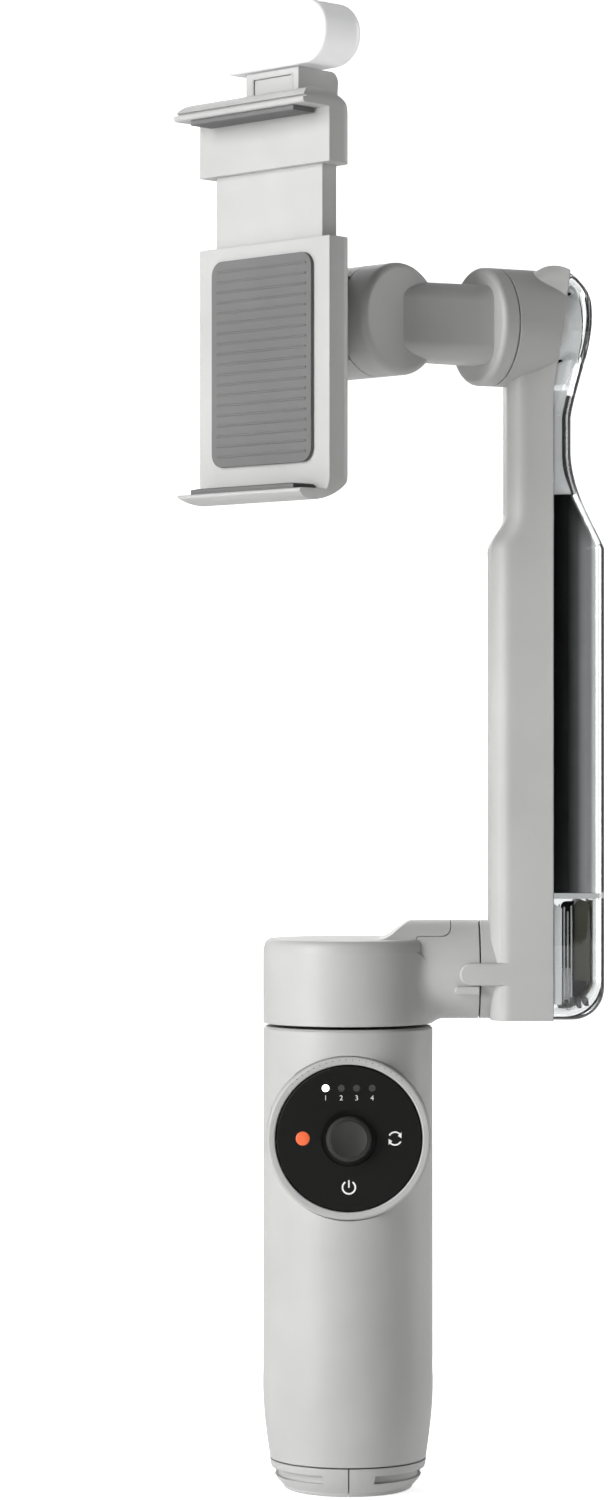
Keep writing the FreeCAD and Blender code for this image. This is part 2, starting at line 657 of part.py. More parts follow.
def finger():
    """Stop finger that reaches over the neck, flush with the side of the arm, which it
    meets in two small flares."""
    z0, z1 = 110.2, 115.1
    flat = FACE_X + 0.8
    blade = slab([
        ("start", (flat + 2.0, z0 - 2.0)),
        ("line", (flat, z0 - 2.0)),
        ("arc", (flat - 0.59, z0 - 0.59), (flat - 2.0, z0)),
        ("line", (26.4, z0)),
        ("arc", (24.0, (z0 + z1) / 2), (26.4, z1)),
        ("line", (flat - 2.0, z1)),
        ("arc", (flat - 0.59, z1 + 0.59), (flat, z1 + 2.0)),
        ("line", (flat + 2.0, z1 + 2.0)),
    ], in_xz, -ARM_HALF + 0.01, 0, BACK)
    blade = rounded(blade, 0.5, lambda e: e.CenterOfMass.y < 0.1 - ARM_HALF and
                    e.CenterOfMass.x < flat + 1.0)
    return blade.cut(cylinder(NECK_R + 0.15, neck_point(20), neck_point(40)))


def arm_shell():
    """Grey half of the arm with the strip on its face, the collar of the fold joint, the
    stop finger and the housing of the roll motor."""
    plate = arm_solid(0, ARM_HALF).common(front_side())
    plate = rounded(plate, EDGE_R, lambda e: (
        abs(abs(e.BoundBox.YMax) - ARM_HALF) < 0.01 and e.BoundBox.YLength < 0.01
        and e.CenterOfMass.x < FACE_X + 0.1 and e.Length > 8))
    collar = cylinder(NECK_R, neck_point(SEAM_X + 0.3), neck_point(36.0))
    barrel = head_barrel(HEAD_R, -5.0, 16.3).common(front_side())
    barrel = barrel.fuse(head_barrel(12.0, 1.0, 16.0))
    solid = plate.fuse([collar, barrel, finger()])
    room = arm_solid(2.0, ARM_HALF - 2.0).common(box(38.0, 60, -30, 30, 0, 236))
    room = room.common(front_side())
    bore = cylinder(4.0 + RUN, neck_point(20), neck_point(40))
    motor_room = head_barrel(11.2, 2.6, 20)
    solid = solid.cut(room).cut(bore).cut(motor_room)
    return solid.removeSplitter()


def arm_cover():
    """Clear cover over the back of the arm and its head, a shell open to the front."""
    knob = head_barrel(HEAD_R, -9.0, 8.0).common(arm_solid(0, HEAD_R))
    outer = arm_solid(0, ARM_HALF, BACK_R).fuse(knob)
    front = front_side()
    front.translate(RIGHT * 0.1)
    room = arm_solid(COVER_WALL, ARM_HALF - COVER_WALL, BACK_R - COVER_WALL)
    room = room.cut(box(SPLIT_X - 5, 60, -30, 30, 129.0, 130.2))
    motor_room = head_barrel(12.15, 0.8, 20)
    shape = outer.cut(front).cut(room).cut(motor_room)
    return shape.removeSplitter()


def arm_liner():
    """Black lining behind the clear cover, around the battery-side electronics."""
    gap = COVER_WALL + 0.1
    outer = arm_solid(gap, ARM_HALF - gap, BACK_R - gap)
    outer = outer.common(box(SPLIT_X + 0.15, 60, -30, 30, 130.3, 216.5))
    wall = gap + LINER_WALL
    inner = arm_solid(wall, ARM_HALF - wall, BACK_R - 2.0)
    inner = inner.common(box(0, 60, -30, 30, 130.3 + LINER_WALL, 216.5 - LINER_WALL))
    return outer.cut(inner).removeSplitter()


def arm_inside():
    """Board, ribbon cable, plug and buffer block seen through the clear foot."""
    board = box(45.2, 46.2, -8.0, 8.0, 133.0, 210.0)
    ribbon = slab([
        ("start", (45.6, 105.1)),
        ("line", (47.1, 105.1)),
        ("arc", (51.34, 106.86), (53.1, 111.1)),
        ("line", (53.1, 128.6)),
        ("line", (52.7, 128.6)),
        ("line", (52.7, 111.1)),
        ("arc", (51.06, 107.14), (47.1, 105.5)),
        ("line", (45.6, 105.5)),
    ], in_xz, -7.0, 7.0, BACK)
    plug = box(46.7, 48.4, -6.4, 6.4, 106.2, 113.6)
    block = slab([
        ("start", (48.9, 111.2)),
        ("line", (52.3, 111.2)),
        ("line", (52.3, 127.0)),
        ("arc", (51.83, 128.13), (50.7, 128.6)),
        ("line", (50.5, 128.6)),
        ("arc", (49.37, 128.13), (48.9, 127.0)),
    ], in_xz, -8.2, 8.2, BACK)
    return {"arm_board": board, "arm_ribbon": ribbon, "arm_connectors": group(plug, block)}


# --- roll and tilt heads -----------------------------------------------------------------
def clamp_slab(steps, x0, x1):
    """An outline in the clamp frame's y', z' extruded along x'."""
    return slab(steps, in_yz, x0, x1, RIGHT)


def tilt_barrel(r, x0, x1):
    """A cylinder on the tilt axis, in the clamp frame."""
    return cylinder(r, TILT + RIGHT * x0, TILT + RIGHT * x1)


def roll_link():
    """Cranked arm from the roll motor to the fixed side of the tilt motor."""
    disc = head_barrel(HEAD_R, 16.65, 20.4)
    disc = rounded(disc, 1.2, lambda e: 30 < e.Length < 90 and
                   (e.CenterOfMass - HEAD).dot(ROLL) > 20)
    end = tilt_barrel(TILT_R, 10.4, 18.0)
    end = rounded(end, 1.5, lambda e: e.Length > 60 and e.CenterOfMass.x > 17)
    bridge = slab(polygon([
        (10.4, 29.0), (18.0, 29.0), (24.4, 46.0), (27.0, 52.5), (14.0, 57.0), (10.4, 42.4),
    ]), in_xy, -11.0, 6.0, UP)
    keep = slab(polygon([(0, 0), (40, 0), (40, 70), (0, 70)]), in_xy, -20, 20, UP)
    bridge = bridge.common(keep)
    bridge = rounded(bridge, 4.0, lambda e: e.BoundBox.ZLength < 0.01)
    local = end.fuse(bridge)
    placed = to_clamp(local)
    plane = cylinder(60, HEAD + ROLL * -60, HEAD + ROLL * 16.65)
    placed = placed.cut(plane)
    link = placed.fuse(disc)
    link = link.cut(to_clamp(tilt_barrel(TILT_R - 1.5, 0, 16.2)))
    return link.removeSplitter()


def tilt_housing():
    """Turning barrel of the tilt motor with the plate that carries the clamp."""
    barrel = tilt_barrel(TILT_R, -10.0, 10.1)
    barrel = rounded(barrel, 1.5, lambda e: e.Length > 60 and e.CenterOfMass.x < -9)
    neck = box(-10.0, 10.1, 16.5, 29.0, TILT.z - 9.0, TILT.z + 9.0)
    plate = slab(round_rect(-12.5, 12.5, -13.5, 8.5, 5.0), in_xz, 14.6, 16.8, BACK)
    shape = barrel.fuse([neck, plate])
    shape = shape.cut(tilt_barrel(10.2, -8.1, 11))
    shape = shape.cut(slab(round_rect(-9.0, 9.0, -10.5, 5.5, 2.0), in_xz, 14, 16.0, BACK))
    return to_clamp(shape.removeSplitter())


# --- clamp ------------------------------------------------------------------------------
def clamp_plan():
    """The clamp seen from above, a tall block with its two back corners rounded."""
    return slab(round_rect(-JAW_HALF, JAW_HALF, -30, CLAMP_BACK, CLAMP_R), in_xy, -60, 60, UP)


def clamp_body():
    """Fixed half of the clamp: the back, the channel of the sliding jaw and the low jaw."""
    body = clamp_slab([
        ("start", (5.0, 13.0)),
        ("line", (5.0, -39.95)),
        ("line", (-2.1, -39.95)),
        ("arc", (-2.6, -40.3), (-2.3, -40.8)),
        ("curve", [(1.0, -42.0), (6.5, -41.4), (10.6, -38.0), (12.2, -32.5)]),
        ("line", (12.2, 13.0)),
    ], -JAW_HALF, JAW_HALF)
    body = body.common(slab(round_rect(-JAW_HALF, JAW_HALF, -43, 20, 6.0), in_xz, -10, 20, BACK))
    body = body.common(clamp_plan())
    channel = box(-16.1, 16.1, 6.4, 10.8, -34.0, 20.0)
    puck = slab(round_rect(-11.5, 11.5, -12.5, 7.5, 4.5), in_xz, 12.1, 14.5, BACK)
    key = slab(round_rect(-8.8, 8.8, -10.3, 5.3, 1.9), in_xz, 14.4, 15.8, BACK)
    body = body.cut(channel).fuse([puck, key])
    body = body.cut(box(-6.2, 6.2, 13.0, 15.0, TILT.z - 6.2, TILT.z + 6.2))
    return to_clamp(body.removeSplitter())


def upper_jaw():
    """Sliding half of the clamp: the plate in the channel and the high jaw."""
    hook = clamp_slab([
        ("start", (5.0, 28.5)),
        ("line", (5.0, 39.95)),
        ("line", (-2.1, 39.95)),
        ("arc", (-2.7, 40.4), (-2.6, 41.1)),
        ("curve", [(-1.0, 42.9), (2.5, 43.9), (7.0, 43.2), (10.8, 40.0), (12.2, 34.5)]),
        ("line", (12.2, 28.5)),
    ], -JAW_HALF, JAW_HALF)
    hook = hook.cut(box(-30, 30, -5, -1.7, 41.1, 41.6))
    hook = hook.common(slab(round_rect(-JAW_HALF, JAW_HALF, 10, 44.2, 4.0), in_xz, -10, 20, BACK))
    hook = hook.common(clamp_plan())
    plate = box(-16.0, 16.0, 6.5, 10.7, -16.0, 30.0)
    return to_clamp(hook.fuse(plate).removeSplitter())


def coil(r, wire, z0, z1, turns, at):
    """Round-wire compression spring along z'."""
    helix = Part.makeHelix((z1 - z0 - 2 * wire) / turns, z1 - z0 - 2 * wire, r)
    section = Part.Wire(Part.makeCircle(wire, V(r, 0, 0), V(0, 1, 0)))
    spring = Part.Wire(helix.Edges).makePipeShell([section], True, True)
    spring.translate(V(at.x, at.y, z0 + wire))
    return spring


def clamp_springs():
    """The two springs that pull the jaws together."""
    rods = [coil(1.2, 0.3, -30.8, -16.2, 9, V(s * 10, 8.6, 0)) for s in (-1, 1)]
    return group(*[to_clamp(r) for r in rods])


def pads(sign):
    """Rubber on one jaw."""
    z0, z1 = sorted((sign * JAW_Z, sign * 39.9))
    pad = box(-15.5, 15.5, -1.6, 4.6, z0, z1)
    return to_clamp(rounded(pad, 0.3, lambda e: e.Length > 20 and abs(abs(e.BoundBox.ZMax) - JAW_Z) < 0.01))


def back_pad():
    """Rubber the phone's back rests on."""
    return to_clamp(slab(round_rect(-15.0, 15.0, -34.0, 10.0, 3.0), in_xz, 4.1, 4.95, BACK))


# --- lamp -------------------------------------------------------------------------------
LAMP = V(4.0, 7.8, 55.8)


def lamp_bracket():
    """Foot of the lamp, hooked on the upper jaw."""
    foot = slab([
        ("start", (3.6, 44.0)),
        ("line", (7.6, 43.9)),
        ("line", (12.35, 40.0)),
        ("line", (12.35, 37.0)),
        ("line", (14.9, 37.0)),
        ("line", (15.4, 46.0)),
        ("arc", (14.9, 48.2), (12.8, 48.9)),
        ("line", (3.6, 48.9)),
    ], in_yz, LAMP.x - 7.85, LAMP.x + 7.85, RIGHT)
    foot = foot.cut(box(LAMP.x - 5.6, LAMP.x + 5.6, 0, 5.6, 43.9, 47.5))
    stem = cylinder(2.5, V(LAMP.x, LAMP.y, 48.0), V(LAMP.x, LAMP.y, 50.5))
    return to_clamp(fuse(foot, stem))


def stadium(x_half, z_half, y0, y1):
    """A block with half-round ends, in the clamp frame, centred on the lamp."""
    x, z = LAMP.x, LAMP.z
    flat = x_half - z_half
    return slab([
        ("start", (x - flat, z - z_half)),
        ("line", (x + flat, z - z_half)),
        ("arc", (x + x_half, z), (x + flat, z + z_half)),
        ("line", (x - flat, z + z_half)),
        ("arc", (x - x_half, z), (x - flat, z - z_half)),
    ], in_xz, y0, y1, BACK)


def lamp():
    """The lamp's case, its white front, its board and the key in the bracket."""
    front_y, back_y = LAMP.y - 6.2, LAMP.y + 6.3
    outer = stadium(17.6, 6.7, front_y, back_y)
    outer = rounded(outer, 3.2, lambda e: e.BoundBox.YMin > back_y - 0.1)
    outer = rounded(outer, 1.1, lambda e: e.BoundBox.YMax < front_y + 0.1)
    cavity = stadium(15.9, 5.0, front_y - 2, back_y - 1.8)
    rebate = stadium(16.35, 5.45, front_y - 2, front_y + 1.4)
    socket = cylinder(2.55, V(LAMP.x, LAMP.y, 48), V(LAMP.x, LAMP.y, 51.0))
    case = outer.cut(cavity).cut(rebate).cut(socket)
    front = stadium(16.3, 5.4, front_y - 0.25, front_y + 1.35)
    front = rounded(front, 0.5, lambda e: e.BoundBox.YMax < front_y - 0.2)
    board = stadium(14.6, 4.3, LAMP.y - 2.0, LAMP.y - 1.0)
    chips = [box(LAMP.x + 4.4 * i - 1, LAMP.x + 4.4 * i + 1, LAMP.y - 2.7, LAMP.y - 2.02,
                 LAMP.z - 1.0, LAMP.z + 1.0) for i in range(-2, 3)]
    key = box(LAMP.x - 5.5, LAMP.x + 5.5, 3.9, 4.75, 44.0, 47.4)
    return {
        "lamp_case": to_clamp(case.removeSplitter()),
        "lamp_front": to_clamp(front),
        "lamp_board": group(to_clamp(board), *[to_clamp(c) for c in chips]),
        "lamp_key": to_clamp(key),
    }


# --- everything ---------------------------------------------------------------------------
def build():
    """All nodes by name."""
    out = {"handle_sleeve": handle_sleeve(), "base_plug": base_plug()}
    out.update(pole_tubes())
    out.update(tripod())
    out.update(panel())
    out.update(trigger())
    out["battery_cells"] = batteries()
    out["usb_socket"] = usb_socket()
    out["pan_base"] = pan_base()
    pan = motor(V(0, 0, 103.7), UP, 14.6, 12.2)
    out["pan_stator"], out["pan_rotor"], out["pan_bearings"] = pan["stator"], pan["rotor"], pan["bearings"]
    out.update(drum_pieces())
    out["fold_shaft"] = fold_shaft()
    out["arm_shell"] = arm_shell()
    out["arm_cover"] = arm_cover()
    out["arm_liner"] = arm_liner()
    out.update(arm_inside())
    roll = motor(HEAD + ROLL * 2.6, ROLL, 10.7, 14.05)
    out["roll_stator"], out["roll_rotor"] = roll["stator"], roll["rotor"]
    out["roll_bearings"] = roll["bearings"]
    out["roll_link"] = roll_link()
    tilt = motor(TILT + RIGHT * 16.2, LEFT, 10.2, 24.3)
    for name in ("stator", "rotor", "bearings"):
        out["tilt_" + name] = to_clamp(tilt[name])
    out["tilt_housing"] = tilt_housing()
    out["clamp_body"] = clamp_body()
    out["upper_jaw"] = upper_jaw()
    out["clamp_springs"] = clamp_springs()
    out["lower_pad"] = pads(-1)
    out["upper_pad"] = pads(1)
    out["back_pad"] = back_pad()
    out["lamp_bracket"] = lamp_bracket()
    out.update(lamp())
    return out


os.makedirs("parts", exist_ok=True)
for name, shape in build().items():
    if shape.ShapeType == "Compound" and len(shape.Solids) == 1:
        shape = shape.Solids[0]
    print(name, shape.ShapeType, len(shape.Solids), shape.isValid(), round(shape.Volume, 1))
    shape.exportStep("parts/%s.step" % name)
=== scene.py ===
"""Looks for the folding phone gimbal: finishes for every CAD node, the small printed and
moulded details around them, a pale floor, soft studio light and a level camera."""

import bpy
import bmesh
import json
import math
from mathutils import Vector, Matrix
from mathutils.bvhtree import BVHTree


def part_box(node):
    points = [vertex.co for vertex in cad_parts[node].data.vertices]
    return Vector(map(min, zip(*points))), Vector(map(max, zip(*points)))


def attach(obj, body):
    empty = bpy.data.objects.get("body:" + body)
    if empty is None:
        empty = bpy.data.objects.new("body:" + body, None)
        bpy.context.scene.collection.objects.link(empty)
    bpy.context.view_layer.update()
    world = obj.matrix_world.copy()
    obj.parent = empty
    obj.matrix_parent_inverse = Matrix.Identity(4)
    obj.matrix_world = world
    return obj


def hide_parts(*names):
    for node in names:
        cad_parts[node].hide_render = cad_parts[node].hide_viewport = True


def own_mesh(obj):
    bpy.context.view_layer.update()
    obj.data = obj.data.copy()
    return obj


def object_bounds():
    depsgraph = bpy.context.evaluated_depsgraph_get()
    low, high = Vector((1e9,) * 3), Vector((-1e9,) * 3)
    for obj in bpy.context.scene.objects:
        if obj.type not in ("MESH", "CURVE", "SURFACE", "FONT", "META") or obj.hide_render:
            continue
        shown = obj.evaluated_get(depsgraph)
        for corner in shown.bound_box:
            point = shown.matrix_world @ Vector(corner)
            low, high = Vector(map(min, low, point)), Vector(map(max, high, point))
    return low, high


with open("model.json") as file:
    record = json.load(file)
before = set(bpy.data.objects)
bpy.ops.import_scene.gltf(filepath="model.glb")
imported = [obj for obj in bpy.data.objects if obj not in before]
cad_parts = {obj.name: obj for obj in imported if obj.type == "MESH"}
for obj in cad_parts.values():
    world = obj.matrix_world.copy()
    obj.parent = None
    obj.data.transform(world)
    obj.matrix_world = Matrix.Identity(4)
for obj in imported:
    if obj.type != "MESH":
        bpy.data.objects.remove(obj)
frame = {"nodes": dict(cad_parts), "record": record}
cad_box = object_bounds()
NODES = frame["nodes"]
MM = 0.001
X, Y, Z = Vector((1, 0, 0)), Vector((0, 1, 0)), Vector((0, 0, 1))


# --- node materials -----------------------------------------------------------------------
def new_material(name):
    """A material with an empty tree but its output and a principled shader."""
    m = bpy.data.materials.new(name)
    m.use_nodes = True
    nt = m.node_tree
    nt.nodes.clear()
    out = nt.nodes.new("ShaderNodeOutputMaterial")
    bsdf = nt.nodes.new("ShaderNodeBsdfPrincipled")
    nt.links.new(bsdf.outputs["BSDF"], out.inputs["Surface"])
    return m, nt, bsdf


def coords(nt, scale=(1, 1, 1)):
    """Object coordinates in millimetres times scale."""
    tc = nt.nodes.new("ShaderNodeTexCoord")
    mp = nt.nodes.new("ShaderNodeMapping")
    mp.inputs["Scale"].default_value = tuple(1000.0 * s for s in scale)
    nt.links.new(tc.outputs["Object"], mp.inputs["Vector"])
    return mp.outputs["Vector"]


def noise(nt, vector, scale, detail=2.0, rough=0.5):
    n = nt.nodes.new("ShaderNodeTexNoise")
    n.inputs["Scale"].default_value = scale
    n.inputs["Detail"].default_value = detail
    n.inputs["Roughness"].default_value = rough
    nt.links.new(vector, n.inputs["Vector"])
    return n.outputs["Fac"]


def remap(nt, value, lo, hi, a=0.0, b=1.0):
    r = nt.nodes.new("ShaderNodeMapRange")
    r.inputs["From Min"].default_value = a
    r.inputs["From Max"].default_value = b
    r.inputs["To Min"].default_value = lo
    r.inputs["To Max"].default_value = hi
    nt.links.new(value, r.inputs["Value"])
    return r.outputs["Result"]


def maths(nt, op, a, b=0.0):
    """A maths node on two values, each a number or a socket."""
    n = nt.nodes.new("ShaderNodeMath")
    n.operation = op
    for socket, value in zip(n.inputs, (a, b)):
        if isinstance(value, (int, float)):
            socket.default_value = value
        else:
            nt.links.new(value, socket)
    return n.outputs["Value"]


def bump(nt, bsdf, height, distance_mm, strength=1.0, edge_mm=0.0):
    """Surface relief, over edges softened by edge_mm."""
    b = nt.nodes.new("ShaderNodeBump")
    b.inputs["Strength"].default_value = strength
    b.inputs["Distance"].default_value = distance_mm * MM
    nt.links.new(height, b.inputs["Height"])
    if edge_mm:
        soft = nt.nodes.new("ShaderNodeBevel")
        soft.samples = 4
        soft.inputs["Radius"].default_value = edge_mm * MM
        nt.links.new(soft.outputs["Normal"], b.inputs["Normal"])
    nt.links.new(b.outputs["Normal"], bsdf.inputs["Normal"])


def blend_colours(nt, a, b, fac):
    """Mixes two colours, each a triple or a socket."""
    mix = nt.nodes.new("ShaderNodeMix")
    mix.data_type = "RGBA"
    for name, value in (("A", a), ("B", b)):
        if isinstance(value, tuple):
            mix.inputs[name].default_value = (*value, 1)
        else:
            nt.links.new(value, mix.inputs[name])
    nt.links.new(fac, mix.inputs["Factor"])
    return mix.outputs["Result"]


def plastic(name, base, rough, grain=5.0, depth=0.012, coat=0.0, spec=0.5, cloudy=0.03, edge=0.0,
            patch=None, patch_mask=None, painted_glow=0.0):
    """Moulded plastic: spark-eroded grain, a faint cloudiness and uneven gloss. A patch
    colour covers the part that patch_mask(nt, x, z) picks out. The glow argument paints
    a faint glow of its own on a pale piece that sits in the shade of a clear cover: painted light."""
    m, nt, bsdf = new_material(name)
    v = coords(nt)
    fine = noise(nt, v, grain, 3.0, 0.6)
    broad = noise(nt, v, 0.05, 2.0)
    dark = tuple(c * (1 - 2 * cloudy) for c in base)
    lift = tuple(min(1, c * (1 + cloudy)) for c in base)
    colour = blend_colours(nt, dark, lift, remap(nt, broad, 0.0, 1.0, 0.3, 0.7))
    if patch:
        xyz = nt.nodes.new("ShaderNodeSeparateXYZ")
        nt.links.new(v, xyz.inputs["Vector"])
        colour = blend_colours(nt, colour, patch, patch_mask(nt, xyz.outputs["X"], xyz.outputs["Z"]))
    nt.links.new(colour, bsdf.inputs["Base Color"])
    nt.links.new(remap(nt, fine, rough - 0.05, rough + 0.06, 0.3, 0.7), bsdf.inputs["Roughness"])
    bsdf.inputs["Specular IOR Level"].default_value = spec
    # painted glow: the piece gives off light of its own colour
    if painted_glow:
        bsdf.inputs["Emission Color"].default_value = (*base, 1)
        bsdf.inputs["Emission Strength"].default_value = painted_glow
    if coat:
        bsdf.inputs["Coat Weight"].default_value = coat
        bsdf.inputs["Coat Roughness"].default_value = 0.04
    if depth or edge:
        bump(nt, bsdf, fine, depth, 1.0, edge)
    return m


def metal(name, base, rough, stretch=(1, 1, 30)):
    """Turned or drawn metal with fine lines."""
    m, nt, bsdf = new_material(name)
    v = coords(nt, stretch)
    lines = noise(nt, v, 1.2, 2.0, 0.6)
    dark = tuple(c * 0.85 for c in base)
    colour = blend_colours(nt, dark, base, remap(nt, lines, 0.0, 1.0, 0.3, 0.7))
    nt.links.new(colour, bsdf.inputs["Base Color"])
    bsdf.inputs["Metallic"].default_value = 1.0
    nt.links.new(remap(nt, lines, rough - 0.06, rough + 0.08, 0.3, 0.7), bsdf.inputs["Roughness"])
    bump(nt, bsdf, lines, 0.006)
    return m


def clear(name, base=(0.96, 0.98, 0.98), rough=0.0, loss=45.0):
    """Clear moulded plastic: a slight waviness, and some light lost along its length."""
    m, nt, bsdf = new_material(name)
    wave = noise(nt, coords(nt), 0.12, 1.0)
    colour = blend_colours(nt, base, tuple(c * 0.97 for c in base), wave)
    nt.links.new(colour, bsdf.inputs["Base Color"])
    bsdf.inputs["Transmission Weight"].default_value = 1.0
    bsdf.inputs["IOR"].default_value = 1.49
    nt.links.new(remap(nt, wave, rough, rough + 0.02), bsdf.inputs["Roughness"])
    bump(nt, bsdf, wave, 0.05, 0.3)
    absorb = nt.nodes.new("ShaderNodeVolumeAbsorption")
    absorb.inputs["Color"].default_value = (0.02, 0.03, 0.04, 1)
    absorb.inputs["Density"].default_value = loss
    out = next(n for n in nt.nodes if n.type == "OUTPUT_MATERIAL")
    nt.links.new(absorb.outputs["Volume"], out.inputs["Volume"])
    let_light_in = nt.nodes.new("ShaderNodeBsdfTransparent")
    mix = nt.nodes.new("ShaderNodeMixShader")
    nt.links.new(nt.nodes.new("ShaderNodeLightPath").outputs["Is Shadow Ray"], mix.inputs["Fac"])
    nt.links.new(bsdf.outputs["BSDF"], mix.inputs[1])
    nt.links.new(let_light_in.outputs["BSDF"], mix.inputs[2])
    nt.links.new(mix.outputs["Shader"], out.inputs["Surface"])
    return m


def white_case_painted_light(name, base, lift):
    """White plastic round a light, with painted light: a painted glow of its own that lifts it,
    weaker where it curves away, and painted shade that turns it greyer there."""
    m, nt, bsdf = new_material(name)
    grain = noise(nt, coords(nt), 8.0, 3.0, 0.6)
    facing = nt.nodes.new("ShaderNodeLayerWeight")
    facing.inputs["Blend"].default_value = 0.5
    # painted shade: greyer towards the grazing edges, by facing angle
    edge = remap(nt, facing.outputs["Facing"], 0.0, 1.0, 0.72, 0.97)
    grey = tuple(c * 0.5 for c in base)
    nt.links.new(blend_colours(nt, base, grey, edge), bsdf.inputs["Base Color"])
    # painted glow that lifts the white, dimmer towards the edges
    bsdf.inputs["Emission Color"].default_value = (*base, 1)
    nt.links.new(remap(nt, edge, lift, lift * 0.3), bsdf.inputs["Emission Strength"])
    nt.links.new(remap(nt, grain, 0.27, 0.35), bsdf.inputs["Roughness"])
    bump(nt, bsdf, grain, 0.004)
    return m


def glow(name, colour, strength):
    """A lit opal surface, a little uneven."""
    m, nt, bsdf = new_material(name)
    n = noise(nt, coords(nt), 0.6, 2.0)
    nt.links.new(blend_colours(nt, colour, tuple(c * 0.98 for c in colour), n), bsdf.inputs["Base Color"])
    bsdf.inputs["Emission Color"].default_value = (*colour, 1)
    nt.links.new(remap(nt, n, strength * 0.97, strength * 1.03), bsdf.inputs["Emission Strength"])
    bsdf.inputs["Roughness"].default_value = 0.35
    return m


GREY = (0.46, 0.46, 0.455)
FROST = (0.80, 0.80, 0.80)
SPLIT_X, SPLIT_Z, SPLIT_LEAN = 44.3, 238.8, 4.7 / 33.2  # the arm's joint, in millimetres
PLUG_X = 48.6  # the plug at the arm's foot ends here


def split_x(z):
    """The joint between the arm's grey and clear halves at a height, in millimetres."""
    return SPLIT_X + max(0.0, z - SPLIT_Z) * SPLIT_LEAN


def past_split(nt, x, z):
    """1 on the clear side of the arm's joint."""
    rise = maths(nt, "MAXIMUM", maths(nt, "SUBTRACT", z, SPLIT_Z), 0.0)
    line = maths(nt, "ADD", maths(nt, "MULTIPLY", rise, SPLIT_LEAN), SPLIT_X + 0.1)
    return maths(nt, "GREATER_THAN", x, line)


def on_plug(nt, x, z):
    """1 on the small plug at the foot of the arm."""
    return maths(nt, "LESS_THAN", x, PLUG_X)


def lining(name):
    """Polished black with a painted reflection: a soft grey glow and one bright line towards
    the round back edge, painted by position on the side that faces the front."""
    m, nt, bsdf = new_material(name)
    v = coords(nt)
    xyz = nt.nodes.new("ShaderNodeSeparateXYZ")
    nt.links.new(v, xyz.inputs["Vector"])
    painted_reflection_ramp = nt.nodes.new("ShaderNodeValToRGB")
    nt.links.new(remap(nt, xyz.outputs["X"], 0.0, 1.0, 45.0, 55.0), painted_reflection_ramp.inputs["Fac"])
    # painted reflection: grey level by x across the lining, the bright line near x 52.7 to 53.3 mm
    painted_reflection_stops = ((0.0, 0.003), (0.25, 0.008), (0.45, 0.06), (0.62, 0.24), (0.72, 0.34), (0.77, 0.85),
             (0.83, 0.85), (0.88, 0.22), (1.0, 0.12))
    bar = painted_reflection_ramp.color_ramp
    while len(bar.elements) < len(painted_reflection_stops):
        bar.elements.new(0.5)
    for element, (at, level) in zip(bar.elements, painted_reflection_stops):
        element.position = at
        element.color = (level, level, level, 1)
    facing = nt.nodes.new("ShaderNodeSeparateXYZ")
    geometry = nt.nodes.new("ShaderNodeNewGeometry")
    nt.links.new(geometry.outputs["Normal"], facing.inputs["Vector"])
    # the painted reflection shows only on faces turned to the front
    front = remap(nt, facing.outputs["Y"], 1.0, 0.0, -0.6, -0.35)
    colour = blend_colours(nt, (0.004, 0.004, 0.0045), painted_reflection_ramp.outputs["Color"], front)
    nt.links.new(colour, bsdf.inputs["Base Color"])
    nt.links.new(remap(nt, noise(nt, v, 4.0), 0.08, 0.14), bsdf.inputs["Roughness"])
    bsdf.inputs["Specular IOR Level"].default_value = 0.35
    return m


